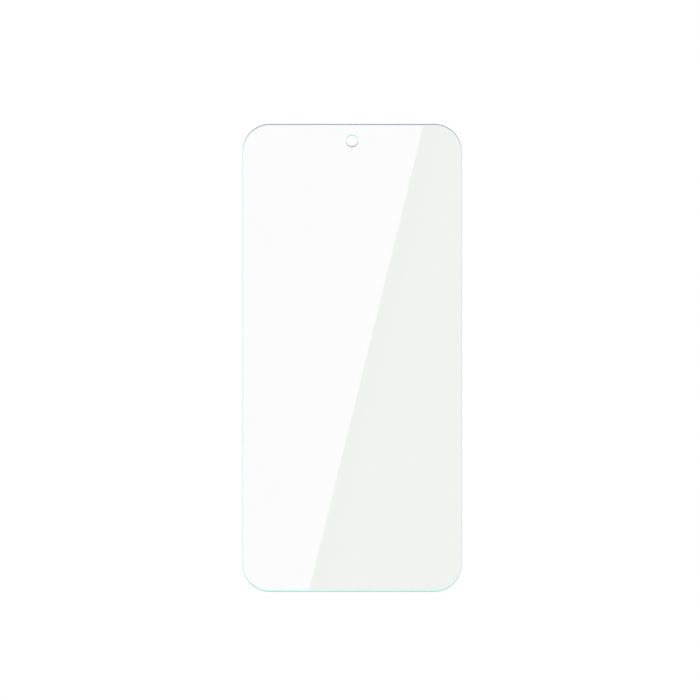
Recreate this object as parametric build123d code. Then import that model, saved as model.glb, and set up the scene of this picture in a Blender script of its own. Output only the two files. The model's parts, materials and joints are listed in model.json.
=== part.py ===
from build123d import *
import os

# Phone screen protector: one sheet of clear tempered glass, cut to a single screen size.
# The sheet lies on its back face, the one that sticks to the screen. The origin is the centre
# of that face, +Z comes out of the front face and +Y points to the end with the camera hole.
# All sizes are in millimetres.

# Outline of the sheet
width = 66.8
length = 142.1
corner_radius = 8.45
thickness = 0.33

# Ground edge: a shallow round on the front, then a straight land, then a chamfer at the back
edge_run = 0.6
edge_land = 0.08
back_chamfer = 0.05

# Camera hole, on the centre line, with a narrower round of its own
hole_diameter = 3.2
hole_from_top = 5.15
hole_run = 0.45
hole_land = 0.12

# Sizes that follow from those above
hole_y = length / 2 - hole_from_top
edge_drop = thickness - edge_land - back_chamfer
hole_drop = thickness - hole_land - back_chamfer


def arc_radius(run, drop):
    """Radius of an arc that leaves the front face level and has fallen by drop after run."""
    return (run**2 + drop**2) / (2 * drop)


def profile(growth, hole_radius):
    """The sheet's outline with its hole, grown evenly on all sides by growth."""
    outline = RectangleRounded(width + 2 * growth, length + 2 * growth, corner_radius + growth)
    return outline - Pos(0, hole_y) * Circle(hole_radius)


def front_edges(body):
    """The outline's edges and the hole's edges on the front face of a body."""
    front = body.faces().sort_by(Axis.Z)[-1]
    return front.outer_wire().edges(), front.inner_wires()[0].edges()


def rounded_blank():
    """An oversize block whose front edges carry the two shallow rounds in full.

    Each round is an arc with a larger radius than the sheet is thick. It would turn vertical
    outside the sheet, so the block is grown until that point and the sheet's walls trim it.
    """
    edge_arc = arc_radius(edge_run, edge_drop)
    hole_arc = arc_radius(hole_run, hole_drop)
    growth = edge_arc - edge_run
    pilot_radius = hole_diameter / 2 - (hole_arc - hole_run)
    depth = edge_arc + hole_arc + thickness
    block = Pos(0, 0, thickness) * extrude(profile(growth, pilot_radius), -depth)
    outline_edges, _ = front_edges(block)
    block = fillet(outline_edges, edge_arc)
    _, hole_edges = front_edges(block)
    return fillet(hole_edges, hole_arc)


def glass_sheet():
    """The finished sheet: the blank's rounds, the walls that trim them and the back chamfers."""
    walls = extrude(profile(0, hole_diameter / 2), thickness)
    sheet = walls & rounded_blank()
    back = sheet.faces().sort_by(Axis.Z)[0]
    return chamfer(back.edges(), back_chamfer)


os.makedirs("parts", exist_ok=True)
export_step(glass_sheet(), "parts/glass_sheet.step")
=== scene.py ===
"""Dresses a glass phone screen protector and sets the stage that it is shown on.

The sheet lies on its back face. Its centre is the origin, +Y points to the end with the camera
hole and +Z comes out of the front face. All lengths are in metres.
"""

import json
import math

import bpy
from bpy.props import FloatProperty, FloatVectorProperty, IntProperty, PointerProperty
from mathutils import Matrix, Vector


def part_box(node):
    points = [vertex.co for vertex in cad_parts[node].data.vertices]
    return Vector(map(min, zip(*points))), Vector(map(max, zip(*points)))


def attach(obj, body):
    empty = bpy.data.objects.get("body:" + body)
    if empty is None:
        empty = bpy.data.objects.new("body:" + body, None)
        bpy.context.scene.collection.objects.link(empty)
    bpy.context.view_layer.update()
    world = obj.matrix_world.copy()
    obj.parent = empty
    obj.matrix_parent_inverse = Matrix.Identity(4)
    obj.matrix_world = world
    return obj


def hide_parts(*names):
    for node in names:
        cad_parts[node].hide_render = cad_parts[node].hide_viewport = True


bl_info = {
    "name": "Phone Screen Protector",
    "version": (1, 0, 0),
    "blender": (4, 5, 0),
    "location": "3D View > Sidebar > Protector",
    "description": "Makes a clear glass screen protector and the stage that it is shown on",
    "category": "Object",
}

# What the frame gives
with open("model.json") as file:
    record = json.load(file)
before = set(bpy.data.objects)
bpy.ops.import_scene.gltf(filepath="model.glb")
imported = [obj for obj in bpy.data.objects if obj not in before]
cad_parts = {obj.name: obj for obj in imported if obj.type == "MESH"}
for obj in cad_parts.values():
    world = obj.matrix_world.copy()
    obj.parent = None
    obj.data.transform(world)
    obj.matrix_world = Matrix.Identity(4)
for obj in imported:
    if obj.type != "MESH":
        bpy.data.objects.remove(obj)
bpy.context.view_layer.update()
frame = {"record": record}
NODE = "glass_sheet"
BODY = "root"
LOW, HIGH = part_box(NODE)
HOLE = next(mount for mount in frame["record"]["mounts"] if mount["name"] == "camera_hole")
MM = 0.001
WHITE = (1.0, 1.0, 1.0, 1.0)
BLACK = (0.0, 0.0, 0.0, 1.0)

# Names of the values that the sheet's mesh keeps on its points and faces
FACING = "rim_facing"
EDGE = "edge_strength"
BORDER = "border_fade"
HOLE_RIM = "hole_rim"
FINISH = "finish"

# Size of the picture, and where the sheet's centre and the edge of the glare lie in it
PICTURE_PIXELS = 700
CENTRE_PIXEL = (352.08, 357.98)
SHEET_LENGTH_PIXELS = 468.15
GLARE_TOP_PIXEL = (423.6, 124.7)
GLARE_BOTTOM_PIXEL = (309.0, 591.1)


# Settings


def length(name, description, default):
    """A length that the user can change."""
    return FloatProperty(
        name=name, description=description, default=default, min=0.0, precision=5, unit="LENGTH"
    )


def share(name, description, default):
    """A share from nothing to all."""
    return FloatProperty(
        name=name, description=description, default=default, min=0.0, max=1.0, subtype="FACTOR"
    )


def level(name, description, default):
    """A brightness, where 1 is as bright as the white background."""
    return FloatProperty(name=name, description=description, default=default, min=0.0)


def count(name, description, default):
    """A number of like things."""
    return IntProperty(name=name, description=description, default=default, min=1)


def tint(name, description, default):
    """A colour of the glass, of the light in it, of the light and shade painted on its edges, or of
    the floor.
    """
    return FloatVectorProperty(
        name=name,
        description=description,
        default=(*default, 1.0),
        min=0.0,
        max=1.0,
        size=4,
        subtype="COLOR",
    )


class SheetSizes(bpy.types.PropertyGroup):
    """Sizes of the glass sheet."""

    width: length("Width", "Across the sheet", HIGH.x - LOW.x)
    length: length("Length", "Along the sheet", HIGH.y - LOW.y)
    thickness: length("Thickness", "From the back face to the front face", HIGH.z - LOW.z)
    corner_radius: length("Corner Radius", "Radius of the outline's corners", 8.45 * MM)
    edge_run: length("Edge Run", "How far the front round reaches in from the edge", 0.6 * MM)
    edge_land: length("Edge Land", "Height of the straight wall below the round", 0.08 * MM)
    back_chamfer: length("Back Chamfer", "Chamfer of the back edges", 0.05 * MM)
    hole_radius: length("Hole Radius", "Radius of the camera hole", HOLE["dims"]["r_mm"] * MM)
    hole_offset: length("Hole Offset", "From the sheet's centre to the hole", HOLE["pos_m"][1])
    hole_run: length("Hole Run", "How far the front round reaches out from the hole", 0.45 * MM)
    hole_land: length("Hole Land", "Height of the hole's straight wall", 0.12 * MM)
    edge_core: length("Edge Core", "Strip beside the edge that has its full tint", 0.15 * MM)
    hole_core: length("Hole Core", "Strip beside the hole that has its full tint", 0.225 * MM)
    border: length("Border", "Strip beside each round where the glass is faintly tinted", 1.2 * MM)
    corner_steps: count("Corner Steps", "Faces round a corner", 32)
    hole_steps: count("Hole Steps", "Faces round the hole", 96)
    round_steps: count("Round Steps", "Faces across a round", 10)


class GlassFinishAndPaintedLight(bpy.types.PropertyGroup):
    """Colours and polish of the glass, and the light, shade and glow painted on it."""

    face_tint: tint("Face", "Clear glass, seen through the faces", (0.955, 0.961, 0.951))
    border_tint: tint("Border", "Glass beside an edge", (0.90, 1.0, 1.0))
    # Painted mint light beside the edges at the lower end
    mint_tint: tint("Mint Border", "Glass beside an edge at its lower end", (0.63, 1.0, 0.95))
    coat_tint: tint("Coating", "Colour of what the polished faces mirror", (0.925, 0.75, 1.0))
    # The four edge colours are painted light and shade: painted shade on the edge that faces the
    # hole's end, painted mint light on the other end's edge, and the right edge painted darker than
    # the left
    top_tint: tint("Top Edge", "Ground edge that faces the hole's end", (0.266, 0.295, 0.39))
    bottom_tint: tint("Bottom Edge", "Ground edge that faces the other end", (0.40, 0.78, 0.69))
    left_tint: tint("Left Edge", "Ground edge that faces left", (0.94, 0.966, 0.985))
    right_tint: tint("Right Edge", "Ground edge that faces right", (0.82, 0.84, 0.838))
    # Painted glow that the faces give off
    carried_glow: tint("Carried Light", "Light that the sheet takes to its edges", (0.60, 0.78, 0.72))
    face_roughness: share("Face Roughness", "Least roughness of the faces", 0.006)
    round_roughness: share("Round Roughness", "Least roughness of the rounds", 0.12)
    land_roughness: share("Land Roughness", "Least roughness of the ground lands", 0.4)
    land_clearness: share("Land Clearness", "Light that goes through the ground lands", 0.5)
    refraction: FloatProperty(name="Refraction", description="Refractive index", default=1.5)


class StageLook(bpy.types.PropertyGroup):
    """Floor, light and camera."""

    floor_gap: length("Floor Gap", "Air between the floor and the back face", 0.05 * MM)
    floor_reach: length("Floor Reach", "From the sheet's centre to the floor's edge", 4.0)
    floor_white: tint("Floor", "Colour of the floor", (1.0, 1.0, 1.0))
    floor_glow: share("Floor Glow", "Share of the floor's white that no shadow dims", 0.93)
    sky_level: level("Sky", "Even light from all round", 0.75)
    panel_count: count("Panels", "Pale panels round the room", 12)
    panel_level: level("Panel", "Brightness of a panel, as the glass mirrors it", 0.92)
    between_level: level("Between", "Brightness between panels, as the glass mirrors it", 0.6)
    ceiling_level: level("Ceiling", "What the glass mirrors from straight above", 0.04)
    key_level: level("Key", "Brightness of the soft light whose edge the glass mirrors", 1.52)
    fill_level: level("Fill", "Brightness of the soft light beside it", 0.15)
    light_height: length("Light Height", "From the sheet to the soft lights", 0.6)
    light_across: length("Light Across", "Shorter side of a soft light", 0.5)
    light_along: length("Light Along", "Longer side of a soft light", 0.9)
    light_gap: length("Light Gap", "Dark gap between the lights, as the sheet shows it", 5.6 * MM)
    lens: FloatProperty(name="Lens", description="Focal length", default=100.0, unit="CAMERA")


# Helpers for node trees


def add(tree, kind, inputs=None, **options):
    """Adds a node, sets its options, then sets or links its inputs by name or number."""
    node = tree.nodes.new(kind)
    for name, value in options.items():
        setattr(node, name, value)
    for key, value in (inputs or {}).items():
        if isinstance(value, bpy.types.NodeSocket):
            tree.links.new(value, node.inputs[key])
        else:
            node.inputs[key].default_value = value
    return node


def calc(tree, operation, *values):
    """One step of arithmetic on sockets or numbers."""
    return add(tree, "ShaderNodeMath", dict(enumerate(values)), operation=operation).outputs[0]


def is_number(tree, value, number):
    """1 where a value is the given whole number, and 0 elsewhere."""
    tolerance = 0.5
    return calc(tree, "COMPARE", value, number, tolerance)


def point(tree, x, y, z=0.0):
    """A point from three sockets or numbers."""
    return add(tree, "ShaderNodeCombineXYZ", {"X": x, "Y": y, "Z": z}).outputs[0]


def smooth_range(tree, value, start, end, low, high):
    """A value that goes smoothly from low to high between start and end."""
    inputs = {"Value": value, "From Min": start, "From Max": end, "To Min": low, "To Max": high}
    node = add(tree, "ShaderNodeMapRange", inputs, interpolation_type="SMOOTHSTEP")
    return node.outputs["Result"]


def new_group(name, kind, inputs, outputs):
    """A node group with named sockets, its input sockets by name and its output node."""
    tree = bpy.data.node_groups.new(name, kind)
    for socket_name, socket_type in inputs.items():
        tree.interface.new_socket(socket_name, in_out="INPUT", socket_type=socket_type)
    for socket_name, socket_type in outputs.items():
        tree.interface.new_socket(socket_name, in_out="OUTPUT", socket_type=socket_type)
    given = tree.nodes.new("NodeGroupInput").outputs
    return tree, given, tree.nodes.new("NodeGroupOutput")


# Shape of the sheet

# Points closer than this are one point
WELD = 0.001 * MM

# Edges that turn by more than this stay sharp
SHARP_ANGLE = math.radians(30.0)

# How far large faces lead the shading beside them, where 50 is even and 100 is the most
NORMAL_WEIGHT = 100

# Finishes, in the order of the numbers that the mesh's faces keep
FINISHES = ("Face Finish", "Round Finish", "Land Finish")

RIM_INPUTS = {
    "Path": "NodeSocketGeometry",
    "Side": "NodeSocketFloat",
    "Thickness": "NodeSocketFloat",
    "Run": "NodeSocketFloat",
    "Land": "NodeSocketFloat",
    "Chamfer": "NodeSocketFloat",
    "Core": "NodeSocketFloat",
    "Border": "NodeSocketFloat",
    "Round Steps": "NodeSocketInt",
}

# Each of these but the finishes is a setting of the same name
SHEET_INPUTS = {
    "Width": "NodeSocketFloat",
    "Length": "NodeSocketFloat",
    "Thickness": "NodeSocketFloat",
    "Corner Radius": "NodeSocketFloat",
    "Edge Run": "NodeSocketFloat",
    "Edge Land": "NodeSocketFloat",
    "Back Chamfer": "NodeSocketFloat",
    "Hole Radius": "NodeSocketFloat",
    "Hole Offset": "NodeSocketFloat",
    "Hole Run": "NodeSocketFloat",
    "Hole Land": "NodeSocketFloat",
    "Edge Core": "NodeSocketFloat",
    "Hole Core": "NodeSocketFloat",
    "Border": "NodeSocketFloat",
    "Corner Steps": "NodeSocketInt",
    "Hole Steps": "NodeSocketInt",
    "Round Steps": "NodeSocketInt",
    **dict.fromkeys(FINISHES, "NodeSocketMaterial"),
}


def join(tree, *geometries):
    """Several geometries as one."""
    node = tree.nodes.new("GeometryNodeJoinGeometry")
    for geometry in geometries:
        tree.links.new(geometry, node.inputs[0])
    return node.outputs[0]


def weld(tree, geometry):
    """The geometry with points in the same place made one."""
    inputs = {"Geometry": geometry, "Distance": WELD}
    return add(tree, "GeometryNodeMergeByDistance", inputs).outputs[0]


def move(tree, geometry, place, scale=(1.0, 1.0, 1.0)):
    """The geometry moved to a place, and scaled about it."""
    inputs = {"Geometry": geometry, "Translation": place, "Scale": scale}
    return add(tree, "GeometryNodeTransform", inputs).outputs[0]


def store(tree, geometry, name, value, **options):
    """The geometry with a named value on its points or faces."""
    inputs = {"Geometry": geometry, "Name": name, "Value": value}
    return add(tree, "GeometryNodeStoreNamedAttribute", inputs, **options).outputs[0]


def line(tree, start, end):
    """A straight curve of two points."""
    inputs = {"Start": start, "End": end}
    return add(tree, "GeometryNodeCurvePrimitiveLine", inputs).outputs[0]


def sweep(tree, path, section):
    """A surface that a section leaves as it follows a path."""
    inputs = {"Curve": path, "Profile Curve": section}
    return add(tree, "GeometryNodeCurveToMesh", inputs).outputs[0]


def ground_rim():
    """Node group for a ground rim: a round at the front, a land, a chamfer and a border strip.

    The path is the rim's wall and runs clockwise. Side is 1 where the glass lies inside the path
    and -1 where it lies outside. A section has its distance into the glass as X, its height as Y.
    """
    tree, given, out = new_group(
        "ground_rim", "GeometryNodeTree", RIM_INPUTS, {"Mesh": "NodeSocketGeometry"}
    )
    thickness, run, chamfer = given["Thickness"], given["Run"], given["Chamfer"]

    # The round is an arc that leaves the front face level and falls by drop over run
    wall_top = calc(tree, "ADD", chamfer, given["Land"])
    drop = calc(tree, "SUBTRACT", thickness, wall_top)
    squares = calc(tree, "ADD", calc(tree, "POWER", run, 2.0), calc(tree, "POWER", drop, 2.0))
    radius = calc(tree, "DIVIDE", squares, calc(tree, "MULTIPLY", drop, 2.0))
    arc = add(
        tree,
        "GeometryNodeCurveArc",
        {
            "Resolution": calc(tree, "ADD", given["Round Steps"], 1),
            "Radius": radius,
            "Start Angle": math.pi / 2,
            "Sweep Angle": calc(tree, "ARCSINE", calc(tree, "DIVIDE", run, radius)),
        },
    ).outputs["Curve"]
    arc = move(tree, arc, point(tree, run, calc(tree, "SUBTRACT", thickness, radius)))

    # Section of the round, whose painted light and shade is full beside the wall and gone where the
    # round starts
    place = add(tree, "GeometryNodeInputPosition").outputs[0]
    inset = add(tree, "ShaderNodeSeparateXYZ", {"Vector": place}).outputs["X"]
    strength = smooth_range(tree, inset, run, given["Core"], 0.0, 1.0)
    arc = store(tree, store(tree, arc, EDGE, strength), BORDER, 1.0)

    # Sections of the land with its chamfer, and of the flat strip whose tint and painted mint light
    # fade inwards
    wall = line(tree, point(tree, 0.0, wall_top), point(tree, 0.0, chamfer))
    bevel = line(tree, point(tree, 0.0, chamfer), point(tree, chamfer, 0.0))
    land = store(tree, join(tree, wall, bevel), EDGE, 1.0)
    inner = point(tree, calc(tree, "ADD", run, given["Border"]), thickness)
    along = add(tree, "GeometryNodeSplineParameter").outputs["Factor"]
    strip = store(tree, line(tree, inner, point(tree, run, thickness)), BORDER, along)

    # All follow the path, which keeps the way that each point faces and whether it is the hole's
    normal = add(tree, "GeometryNodeInputNormal").outputs["Normal"]
    outwards = calc(tree, "MULTIPLY", given["Side"], -1.0)
    facing = add(
        tree, "ShaderNodeVectorMath", {0: normal, "Scale": outwards}, operation="SCALE"
    ).outputs["Vector"]
    path = store(tree, given["Path"], FACING, facing, data_type="FLOAT_VECTOR")
    path = store(tree, path, HOLE_RIM, calc(tree, "LESS_THAN", given["Side"], 0.0))
    bands = []
    for number, section in enumerate((strip, arc, land)):
        section = move(tree, section, (0.0, 0.0, 0.0), point(tree, given["Side"], -1.0, 1.0))
        band = sweep(tree, path, section)
        bands.append(store(tree, band, FINISH, number, data_type="INT", domain="FACE"))
    rim = weld(tree, join(tree, *bands))
    inside_out = calc(tree, "GREATER_THAN", given["Side"], 0.0)
    rim = add(tree, "GeometryNodeFlipFaces", {"Mesh": rim, "Selection": inside_out}).outputs[0]
    tree.links.new(rim, out.inputs["Mesh"])
    return tree


def flat_between(tree, rims, edges):
    """A flat face, at height 0, that fills the space between the chosen open edges of the rims."""
    loops = add(tree, "GeometryNodeMeshToCurve", {"Mesh": rims, "Selection": edges}).outputs[0]
    return add(tree, "GeometryNodeFillCurve", {"Curve": loops}, mode="NGONS").outputs[0]


def sheet_tree():
    """Node tree for the whole sheet: two ground rims, the faces between them and the finishes."""
    tree, given, out = new_group(
        "screen_glass", "GeometryNodeTree", SHEET_INPUTS, {"Sheet": "NodeSocketGeometry"}
    )
    rim = ground_rim()
    thickness = given["Thickness"]

    # Paths of the outline and of the hole, clockwise
    outline = add(
        tree,
        "GeometryNodeCurvePrimitiveQuadrilateral",
        {"Width": given["Width"], "Height": given["Length"]},
    ).outputs[0]
    outline = add(
        tree,
        "GeometryNodeFilletCurve",
        {"Curve": outline, "Count": given["Corner Steps"], "Radius": given["Corner Radius"]},
        mode="POLY",
    ).outputs[0]
    hole = add(
        tree,
        "GeometryNodeCurvePrimitiveCircle",
        {"Resolution": given["Hole Steps"], "Radius": given["Hole Radius"]},
    ).outputs["Curve"]
    hole = move(tree, hole, point(tree, 0.0, given["Hole Offset"]))

    # A ground rim along each
    shared = {
        "Thickness": thickness,
        "Chamfer": given["Back Chamfer"],
        "Border": given["Border"],
        "Round Steps": given["Round Steps"],
    }
    rims = []
    for path, side, kind in ((outline, 1.0, "Edge"), (hole, -1.0, "Hole")):
        clockwise = add(tree, "GeometryNodeReverseCurve", {"Curve": path}).outputs[0]
        own = {
            "Path": clockwise,
            "Side": side,
            "Run": given[f"{kind} Run"],
            "Land": given[f"{kind} Land"],
            "Core": given[f"{kind} Core"],
        }
        node = add(tree, "GeometryNodeGroup", {**shared, **own}, node_tree=rim)
        rims.append(node.outputs["Mesh"])
    rims = join(tree, *rims)

    # The faces fill what the rims leave open at the front and at the back
    face_count = add(tree, "GeometryNodeInputMeshEdgeNeighbors").outputs["Face Count"]
    is_open = is_number(tree, face_count, 1)
    place = add(tree, "GeometryNodeInputPosition").outputs[0]
    height = add(tree, "ShaderNodeSeparateXYZ", {"Vector": place}).outputs["Z"]
    is_front = calc(tree, "GREATER_THAN", height, calc(tree, "DIVIDE", thickness, 2.0))
    is_back = calc(tree, "SUBTRACT", 1.0, is_front)
    front = flat_between(tree, rims, calc(tree, "MULTIPLY", is_open, is_front))
    front = move(tree, front, point(tree, 0.0, 0.0, thickness))
    back = flat_between(tree, rims, calc(tree, "MULTIPLY", is_open, is_back))
    back = add(tree, "GeometryNodeFlipFaces", {"Mesh": back}).outputs[0]
    sheet = weld(tree, join(tree, rims, front, back))

    # Rounds are smooth, and the arrises beside the lands stay sharp
    sheet = add(tree, "GeometryNodeSetShadeSmooth", {"Geometry": sheet}).outputs[0]
    angle = add(tree, "GeometryNodeInputMeshEdgeAngle").outputs["Unsigned Angle"]
    sharp = calc(tree, "GREATER_THAN", angle, SHARP_ANGLE)
    sheet = add(
        tree,
        "GeometryNodeSetShadeSmooth",
        {"Geometry": sheet, "Selection": sharp, "Shade Smooth": False},
        domain="EDGE",
    ).outputs[0]

    sheet = add(tree, "GeometryNodeRealizeInstances", {"Geometry": sheet}).outputs[0]
    finish = add(
        tree, "GeometryNodeInputNamedAttribute", {"Name": FINISH}, data_type="INT"
    ).outputs["Attribute"]
    for number, name in enumerate(FINISHES):
        chosen = is_number(tree, finish, number)
        inputs = {"Geometry": sheet, "Selection": chosen, "Material": given[name]}
        sheet = add(tree, "GeometryNodeSetMaterial", inputs).outputs[0]
    tree.links.new(sheet, out.inputs["Sheet"])
    return tree


def set_inputs(modifier, sizes, materials):
    """Sets a node modifier's inputs: materials by name, and the sizes that have the inputs' names.

    The modifier keeps each input by its socket's identifier.
    """
    for item in modifier.node_group.interface.items_tree:
        if item.item_type == "SOCKET" and item.in_out == "INPUT":
            setting = item.name.lower().replace(" ", "_")
            value = materials[item.name] if item.name in materials else getattr(sizes, setting)
            modifier[item.identifier] = value


def plain_mesh(carrier, name):
    """A new object with what the carrier's modifiers make of it. The carrier is removed."""
    depsgraph = bpy.context.evaluated_depsgraph_get()
    mesh = bpy.data.meshes.new_from_object(
        carrier.evaluated_get(depsgraph), preserve_all_data_layers=True, depsgraph=depsgraph
    )
    mesh.name = name
    for index, material in reversed(list(enumerate(mesh.materials))):
        if material is None:
            mesh.materials.pop(index=index)
    piece = bpy.data.objects.new(name, mesh)
    bpy.context.collection.objects.link(piece)
    start = carrier.data
    bpy.data.objects.remove(carrier)
    bpy.data.meshes.remove(start)
    return piece


# Finish of the glass

# How steeply the painted shade of the top edge and the painted mint light of the bottom edge fall off
# round the corners, and how much of the bottom edge's painted mint light the hole's rim lacks
TOP_FALL = 1.2
MINT_FALL = 1.8
HOLE_MINT_LOSS = 0.3

# How steeply the painted light and shade of a round fades where it faces left, right or one of
# the sheet's ends, and how soon the fade of the sides gives way round the corners
LEFT_FADE = 0.2
RIGHT_FADE = 0.7
END_FADE = 2.3
SIDE_FALL = 3.0

# How steeply the tint of the strip beside a round fades inwards, and the painted mint light in it
BORDER_FALL = 2.0
MINT_BORDER_FALL = 6.0

# Power that makes the painted light and shade of the ground lands paler than that of the rounds
LAND_GAMMA = 0.5

# Haze: its clouds per metre on the faces and on the ground edges, their fineness, and how much
# roughness they add at most to each finish
FACE_CLOUDS = 60.0
EDGE_CLOUDS = 900.0
CLOUD_DETAIL = 3.0
FACE_HAZE = 0.008
ROUND_HAZE = 0.1
LAND_HAZE = 0.2

# Grinding marks: their pitch, depth and fineness, how much slower they change along the rim, and
# how strongly they show on the rounds and on the lands
MARK_PITCH = 0.02 * MM
MARK_DEPTH = 0.002 * MM
MARK_DETAIL = 2.0
MARK_STRETCH = 0.01
ROUND_MARKS = 0.1
LAND_MARKS = 0.6

# Passes between the two faces after which light counts as carried along the sheet, where the faces
# give off a painted glow
TRAPPED_DEPTH = 5


def mix_colour(tree, factor, first, second):
    """A colour that goes from first to second."""
    inputs = {"Factor": factor, "A": first, "B": second}
    node = add(tree, "ShaderNodeMix", data_type="RGBA")
    for socket in node.inputs:
        if socket.enabled and socket.name in inputs:
            value = inputs[socket.name]
            if isinstance(value, bpy.types.NodeSocket):
                tree.links.new(value, socket)
            else:
                socket.default_value = value
    return next(socket for socket in node.outputs if socket.enabled)


def attribute(tree, name, output="Fac"):
    """What the mesh keeps under a name for each of its points."""
    return add(tree, "ShaderNodeAttribute", attribute_name=name).outputs[output]


def facing_parts(tree):
    """How far the nearest rim faces right, as X, and the hole's end of the sheet, as Y."""
    return add(tree, "ShaderNodeSeparateXYZ", {"Vector": attribute(tree, FACING, "Vector")}).outputs


def towards(tree, part, sign, fall):
    """How far a rim faces one way, from 0 to 1, as its X or Y says. A higher fall is steeper."""
    share_here = calc(tree, "MAXIMUM", calc(tree, "MULTIPLY", part, sign), 0.0)
    return calc(tree, "POWER", share_here, fall)


def mint_light_share(tree):
    """How far a rim shows painted mint light: most where it faces the lower end, and less at the hole.
    """
    below = towards(tree, facing_parts(tree)["Y"], -1.0, MINT_FALL)
    share_here = calc(tree, "MULTIPLY_ADD", attribute(tree, HOLE_RIM), -HOLE_MINT_LOSS, 1.0)
    return calc(tree, "MULTIPLY", below, share_here)


def rim_light_and_shade_group():
    """Shader group: painted light and shade of an edge by the way that it faces."""
    tree, given, out = new_group(
        "rim_tint",
        "ShaderNodeTree",
        dict.fromkeys(("Left", "Right", "Top", "Bottom"), "NodeSocketColor"),
        {"Color": "NodeSocketColor"},
    )
    facing = facing_parts(tree)

    # The outline's right side is painted darker than its left, and the hole's sides are alike
    outline_share = calc(tree, "SUBTRACT", 1.0, attribute(tree, HOLE_RIM))
    sideways = calc(tree, "MULTIPLY", facing["X"], outline_share)
    rightness = calc(tree, "MULTIPLY_ADD", sideways, 0.5, 0.5)
    colour = mix_colour(tree, rightness, given["Left"], given["Right"])
    # Painted shade where the edge faces the hole's end, and painted mint light where it faces the
    # other end
    above = towards(tree, facing["Y"], 1.0, TOP_FALL)
    colour = mix_colour(tree, above, colour, given["Top"])
    colour = mix_colour(tree, mint_light_share(tree), colour, given["Bottom"])
    tree.links.new(colour, out.inputs["Color"])
    return tree


def border_and_mint_light_group():
    """Shader group: clear glass that takes a tint beside a rim, and painted mint light beside rims
    that face the lower end.
    """
    tree, given, out = new_group(
        "border_glass",
        "ShaderNodeTree",
        dict.fromkeys(("Clear", "Border", "Mint"), "NodeSocketColor"),
        {"Color": "NodeSocketColor"},
    )
    fade = attribute(tree, BORDER)
    beside = calc(tree, "POWER", fade, BORDER_FALL)
    glass = mix_colour(tree, beside, given["Clear"], given["Border"])
    # Painted mint light beside rims that face the lower end
    close = calc(tree, "POWER", fade, MINT_BORDER_FALL)
    mint = calc(tree, "MULTIPLY", mint_light_share(tree), close)
    tree.links.new(mix_colour(tree, mint, glass, given["Mint"]), out.inputs["Color"])
    return tree


def haze_group():
    """Shader group: roughness that wanders a little over the surface, as on handled glass."""
    tree, given, out = new_group(
        "glass_haze",
        "ShaderNodeTree",
        dict.fromkeys(("Scale", "Least", "Spread"), "NodeSocketFloat"),
        {"Roughness": "NodeSocketFloat"},
    )
    place = add(tree, "ShaderNodeTexCoord").outputs["Object"]
    inputs = {"Vector": place, "Scale": given["Scale"], "Detail": CLOUD_DETAIL}
    cloud = add(tree, "ShaderNodeTexNoise", inputs).outputs["Fac"]
    rough = calc(tree, "MULTIPLY_ADD", cloud, given["Spread"], given["Least"])
    tree.links.new(rough, out.inputs["Roughness"])
    return tree


def grinding_group():
    """Shader group: fine marks that run along a rim, as a grinding wheel leaves them."""
    tree, given, out = new_group(
        "grinding_marks",
        "ShaderNodeTree",
        {"Pitch": "NodeSocketFloat"},
        {"Height": "NodeSocketFloat"},
    )
    place = add(tree, "ShaderNodeTexCoord").outputs["Object"]
    level_marks = add(
        tree, "ShaderNodeMapping", {"Vector": place, "Scale": (MARK_STRETCH, MARK_STRETCH, 1.0)}
    ).outputs["Vector"]
    inputs = {
        "Vector": level_marks,
        "Scale": calc(tree, "DIVIDE", 1.0, given["Pitch"]),
        "Detail": MARK_DETAIL,
    }
    marks = add(tree, "ShaderNodeTexNoise", inputs).outputs["Fac"]
    tree.links.new(marks, out.inputs["Height"])
    return tree


class GlassGroups:
    """The shader groups that the finishes of the glass share, with this finish's colours and painted
    light.
    """

    def __init__(self, finish):
        self.finish = finish
        self.rim_tint = rim_light_and_shade_group()
        self.border_glass = border_and_mint_light_group()
        self.haze = haze_group()
        self.grinding = grinding_group()

    def place(self, tree, group, inputs):
        """One of the groups in a material's tree."""
        return add(tree, "ShaderNodeGroup", inputs, node_tree=group).outputs[0]

    def edge_colour(self, tree):
        """Painted light and shade of an edge by the way that it faces."""
        finish = self.finish
        inputs = {
            "Left": tuple(finish.left_tint),
            "Right": tuple(finish.right_tint),
            "Top": tuple(finish.top_tint),
            "Bottom": tuple(finish.bottom_tint),
        }
        return self.place(tree, self.rim_tint, inputs)

    def clear_colour(self, tree):
        """Colour of the glass beside a rim, with painted mint light beside rims that face the lower
        end.
        """
        finish = self.finish
        inputs = {
            "Clear": tuple(finish.face_tint),
            "Border": tuple(finish.border_tint),
            "Mint": tuple(finish.mint_tint),
        }
        return self.place(tree, self.border_glass, inputs)

    def polish(self, tree, shader, scale, least, spread):
        """Sets the roughness of a shader."""
        inputs = {"Scale": scale, "Least": least, "Spread": spread}
        tree.links.new(self.place(tree, self.haze, inputs), shader.inputs["Roughness"])

    def grind(self, tree, shader, strength):
        """Puts grinding marks on a shader."""
        height = self.place(tree, self.grinding, {"Pitch": MARK_PITCH})
        inputs = {"Height": height, "Strength": strength, "Distance": MARK_DEPTH}
        bump = add(tree, "ShaderNodeBump", inputs).outputs["Normal"]
        tree.links.new(bump, shader.inputs["Normal"])


def new_glass(name, finish, clear):
    """A glass material, its node tree and its shader. Clear is how much light goes through."""
    material = bpy.data.materials.new(name)
    material.use_nodes = True
    tree = material.node_tree
    shader = tree.nodes["Principled BSDF"]
    shader.inputs["Transmission Weight"].default_value = clear
    shader.inputs["IOR"].default_value = finish.refraction
    return material, tree, shader


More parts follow.
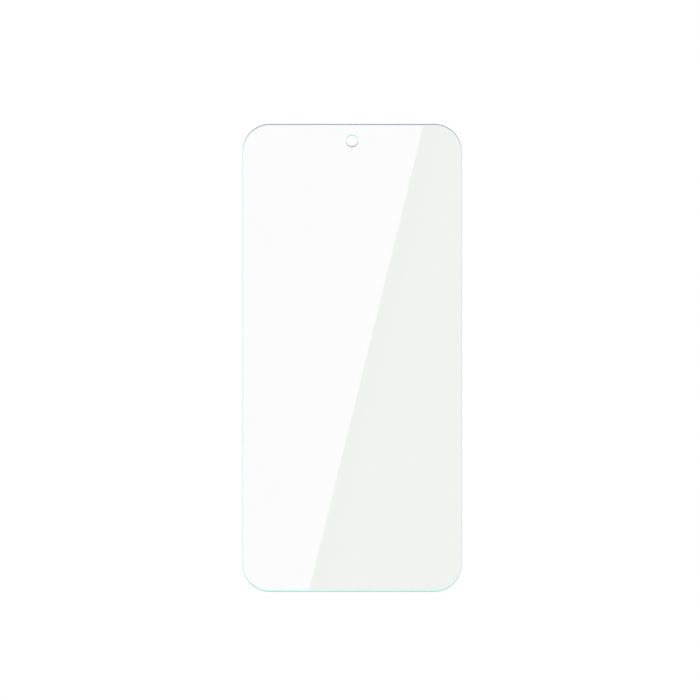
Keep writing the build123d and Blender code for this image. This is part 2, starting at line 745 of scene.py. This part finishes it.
def polished_face(finish, groups):
    """Finish of the two faces: clear, with a faint tint beside each edge, painted mint light beside
    the lower edges, a violet coating and a painted glow.
    """
    material, tree, shader = new_glass("polished_face", finish, 1.0)
    tree.links.new(groups.clear_colour(tree), shader.inputs["Base Color"])
    shader.inputs["Specular Tint"].default_value = finish.coat_tint
    groups.polish(tree, shader, FACE_CLOUDS, finish.face_roughness, FACE_HAZE)

    # Painted glow: a pale green light that the faces give off for rays that have passed between them
    #     TRAPPED_DEPTH times, standing in for light carried along the sheet to its edges
    rays = add(tree, "ShaderNodeLightPath").outputs
    trapped = is_number(tree, rays["Ray Depth"], TRAPPED_DEPTH)
    seen = calc(tree, "MULTIPLY", trapped, is_number(tree, rays["Diffuse Depth"], 0))
    carried = mix_colour(tree, seen, BLACK, tuple(finish.carried_glow))
    tree.links.new(carried, shader.inputs["Emission Color"])
    shader.inputs["Emission Strength"].default_value = 1.0
    return material


def polished_round(finish, groups):
    """Finish of the rounds: clear where they start, and painted with the edges' light and shade
    towards the wall.

    Along the two long sides the painted light and shade reaches further in than at the two ends.
    """
    material, tree, shader = new_glass("polished_round", finish, 1.0)

    # The shader takes the square root of its colour at each surface that light passes
    # Painted light and shade of the edge, by the way that it faces
    edge = groups.edge_colour(tree)
    edge = add(tree, "ShaderNodeVectorMath", {0: edge, 1: edge}, operation="MULTIPLY").outputs[0]
    across = facing_parts(tree)["X"]
    fading = END_FADE
    for sign, side_fade in ((-1.0, LEFT_FADE), (1.0, RIGHT_FADE)):
        facing = towards(tree, across, sign, SIDE_FALL)
        fading = calc(tree, "MULTIPLY_ADD", facing, side_fade - END_FADE, fading)
    strength = calc(tree, "POWER", attribute(tree, EDGE), fading)
    colour = mix_colour(tree, strength, groups.clear_colour(tree), edge)
    tree.links.new(colour, shader.inputs["Base Color"])
    groups.polish(tree, shader, EDGE_CLOUDS, finish.round_roughness, ROUND_HAZE)
    groups.grind(tree, shader, ROUND_MARKS)
    return material


def frosted_land(finish, groups):
    """Finish of the lands and the back chamfers: ground and left matt, with a paler copy of the
    edges' painted light and shade.
    """
    material, tree, shader = new_glass("frosted_land", finish, finish.land_clearness)
    inputs = {"Color": groups.edge_colour(tree), "Gamma": LAND_GAMMA}
    colour = add(tree, "ShaderNodeGamma", inputs).outputs["Color"]
    tree.links.new(colour, shader.inputs["Base Color"])
    groups.polish(tree, shader, EDGE_CLOUDS, finish.land_roughness, LAND_HAZE)
    groups.grind(tree, shader, LAND_MARKS)
    return material


class PROTECTOR_OT_glass_sheet(bpy.types.Operator):
    """Make the glass sheet with its ground rims and finishes"""

    bl_idname = "protector.glass_sheet"
    bl_label = "Glass Sheet"
    bl_options = {"REGISTER", "UNDO"}

    def execute(self, context):
        sizes = context.scene.protector_sizes
        finish = context.scene.protector_finish
        groups = GlassGroups(finish)
        carrier = bpy.data.objects.new("carrier", bpy.data.meshes.new("carrier"))
        context.collection.objects.link(carrier)
        shape = carrier.modifiers.new("Shape", "NODES")
        shape.node_group = sheet_tree()
        makers = (polished_face, polished_round, frosted_land)
        materials = {name: make(finish, groups) for name, make in zip(FINISHES, makers)}
        set_inputs(shape, sizes, materials)
        normals = carrier.modifiers.new("Normals", "WEIGHTED_NORMAL")
        normals.weight = NORMAL_WEIGHT
        normals.keep_sharp = True
        piece = plain_mesh(carrier, "screen_glass")
        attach(piece, BODY)
        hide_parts(NODE)
        return {"FINISHED"}


# Stage

# Where the ring of panels starts, how far they lean, how soft their edges are, and the sines of
# the heights where the ceiling starts and ends
PANEL_START = 0.4
PANEL_LEAN = -0.45
PANEL_EDGE = 0.009
CEILING_START = 0.80
CEILING_END = 0.97


def picture_scale():
    """Metres on the sheet that one pixel of the picture covers."""
    return (HIGH.y - LOW.y) / SHEET_LENGTH_PIXELS


def on_sheet(pixel):
    """The point of the sheet, seen from straight above, that a pixel of the picture shows."""
    across = pixel[0] - CENTRE_PIXEL[0]
    down = pixel[1] - CENTRE_PIXEL[1]
    return Vector((across, -down)) * picture_scale()


def make_camera(context, look):
    """Camera straight above the sheet, so high that the sheet has its size in the picture."""
    data = bpy.data.cameras.new("camera")
    data.lens = look.lens
    camera = bpy.data.objects.new("camera", data)
    middle = on_sheet((PICTURE_PIXELS / 2, PICTURE_PIXELS / 2))
    height = PICTURE_PIXELS * picture_scale() * look.lens / data.sensor_width
    camera.location = (middle.x, middle.y, HIGH.z + height)
    context.collection.objects.link(camera)
    context.scene.camera = camera
    return camera


def met_by_glass(tree, rays):
    """1 for rays that glass mirrors or lets through, and 0 for others."""
    return calc(tree, "MAXIMUM", rays["Is Glossy Ray"], rays["Is Transmission Ray"])


def seen_directly(tree):
    """1 for rays from the camera, mirrored rays and rays through glass, and 0 for stray light."""
    rays = add(tree, "ShaderNodeLightPath").outputs
    return calc(tree, "MAXIMUM", rays["Is Camera Ray"], met_by_glass(tree, rays))


def make_floor(context, look):
    """White floor just under the sheet. What sees it directly or in the glass sees it glow."""
    reach = look.floor_reach
    signs = ((-1.0, -1.0), (1.0, -1.0), (1.0, 1.0), (-1.0, 1.0))
    corners = [(x * reach, y * reach, 0.0) for x, y in signs]
    mesh = bpy.data.meshes.new("floor")
    mesh.from_pydata(corners, [], [range(len(corners))])
    floor = bpy.data.objects.new("floor", mesh)
    floor.location.z = LOW.z - look.floor_gap
    context.collection.objects.link(floor)

    material = bpy.data.materials.new("floor_white")
    material.use_nodes = True
    tree = material.node_tree
    tree.nodes.clear()
    paint = add(tree, "ShaderNodeBsdfDiffuse", {"Color": tuple(look.floor_white)}).outputs[0]
    glow = add(tree, "ShaderNodeEmission", {"Color": tuple(look.floor_white)}).outputs[0]
    seen = calc(tree, "MULTIPLY", seen_directly(tree), look.floor_glow)
    mixed = add(tree, "ShaderNodeMixShader", {0: seen, 1: paint, 2: glow}).outputs[0]
    add(tree, "ShaderNodeOutputMaterial", {"Surface": mixed})
    mesh.materials.append(material)


def mirrored_room(tree, look):
    """Brightness of the room that glass mirrors: leaning panels all round under a dark ceiling."""
    direction = add(tree, "ShaderNodeTexCoord").outputs["Generated"]
    parts = add(tree, "ShaderNodeSeparateXYZ", {"Vector": direction}).outputs
    turn = calc(tree, "ARCTAN2", parts["Y"], parts["X"])
    ring = calc(tree, "MULTIPLY_ADD", turn, look.panel_count / math.tau, PANEL_START)
    leaning = calc(tree, "MULTIPLY_ADD", parts["Z"], PANEL_LEAN, ring)

    # For each panel a wave rises to its peak and falls again, and its upper half is the panel
    peak = 0.5
    wave = calc(tree, "PINGPONG", leaning, peak)
    start, end = peak / 2 - PANEL_EDGE, peak / 2 + PANEL_EDGE
    panels = smooth_range(tree, wave, start, end, look.between_level, look.panel_level)
    fall = smooth_range(tree, parts["Z"], CEILING_START, CEILING_END, 0.0, 1.0)
    return add(
        tree, "ShaderNodeMix", {"Factor": fall, "A": panels, "B": look.ceiling_level}
    ).outputs["Result"]


def make_sky(context, look):
    """Even light from all round, in a room that only glass mirrors."""
    world = bpy.data.worlds.new("studio")
    world.use_nodes = True
    context.scene.world = world
    tree = world.node_tree
    tree.nodes.clear()
    rays = add(tree, "ShaderNodeLightPath").outputs
    room = mirrored_room(tree, look)
    unscattered = is_number(tree, rays["Diffuse Depth"], 0)
    mirrored = calc(tree, "MULTIPLY", met_by_glass(tree, rays), unscattered)
    even, glass, white = (
        add(tree, "ShaderNodeBackground", {"Color": WHITE, "Strength": strength}).outputs[0]
        for strength in (look.sky_level, room, 1.0)
    )
    lit = add(tree, "ShaderNodeMixShader", {0: mirrored, 1: even, 2: glass}).outputs[0]
    seen = add(tree, "ShaderNodeMixShader", {0: rays["Is Camera Ray"], 1: lit, 2: white}).outputs[0]
    add(tree, "ShaderNodeOutputWorld", {"Surface": seen})


def make_soft_light(context, name, look, camera, edge, brightness, side):
    """A soft light above the sheet. One long edge is mirrored along a line across the sheet.

    The line is two points on the front face. The light lies on the left of it if side is -1, and
    on the right if side is 1.
    """
    across, along = look.light_across, look.light_along
    eye = Vector(camera.location.xy)
    grow = 1.0 + look.light_height / (camera.location.z - HIGH.z)
    start, end = (eye + (spot - eye) * grow for spot in edge)
    direction = (end - start).normalized()
    outwards = Vector((direction.y, -direction.x)) * side
    middle = (start + end) / 2 + outwards * across / 2

    data = bpy.data.lights.new(name, "AREA")
    data.shape = "RECTANGLE"
    data.size = across
    data.size_y = along
    data.energy = brightness * math.pi * across * along
    light = bpy.data.objects.new(name, data)
    light.location = (middle.x, middle.y, HIGH.z + look.light_height)
    light.rotation_euler.z = math.atan2(direction.y, direction.x) - math.pi / 2
    light.visible_camera = False
    context.collection.objects.link(light)


class PROTECTOR_OT_stage(bpy.types.Operator):
    """Set the floor, the light and the camera"""

    bl_idname = "protector.stage"
    bl_label = "Stage"
    bl_options = {"REGISTER", "UNDO"}

    def execute(self, context):
        look = context.scene.protector_stage
        context.scene.view_settings.view_transform = "Standard"
        make_floor(context, look)
        make_sky(context, look)
        camera = make_camera(context, look)
        glare = [on_sheet(GLARE_BOTTOM_PIXEL), on_sheet(GLARE_TOP_PIXEL)]
        make_soft_light(context, "key_light", look, camera, glare, look.key_level, -1.0)
        dark = Vector((look.light_gap, 0.0))
        beside = [spot + dark for spot in glare]
        make_soft_light(context, "fill_light", look, camera, beside, look.fill_level, 1.0)
        return {"FINISHED"}


# Panel


class PROTECTOR_PT_panel(bpy.types.Panel):
    """The operators and their settings"""

    bl_label = "Screen Protector"
    bl_idname = "PROTECTOR_PT_panel"
    bl_space_type = "VIEW_3D"
    bl_region_type = "UI"
    bl_category = "Protector"

    def draw(self, context):
        scene = context.scene
        steps = (
            (PROTECTOR_OT_glass_sheet, (scene.protector_sizes, scene.protector_finish)),
            (PROTECTOR_OT_stage, (scene.protector_stage,)),
        )
        for operator, groups in steps:
            box = self.layout.box()
            box.operator(operator.bl_idname)
            for group in groups:
                for name in group.__annotations__:
                    box.prop(group, name)


CLASSES = (
    SheetSizes,
    GlassFinishAndPaintedLight,
    StageLook,
    PROTECTOR_OT_glass_sheet,
    PROTECTOR_OT_stage,
    PROTECTOR_PT_panel,
)

SETTINGS = {
    "protector_sizes": SheetSizes,
    "protector_finish": GlassFinishAndPaintedLight,
    "protector_stage": StageLook,
}


def register():
    """Registers the classes and puts the settings on the scene."""
    for cls in CLASSES:
        bpy.utils.register_class(cls)
    for name, group in SETTINGS.items():
        setattr(bpy.types.Scene, name, PointerProperty(type=group))


def unregister():
    """Takes the settings and the classes away again."""
    for name in SETTINGS:
        delattr(bpy.types.Scene, name)
    for cls in reversed(CLASSES):
        bpy.utils.unregister_class(cls)


def main():
    """Makes the sheet and its stage."""
    register()
    bpy.ops.protector.glass_sheet()
    bpy.ops.protector.stage()


if __name__ == "__main__":
    main()
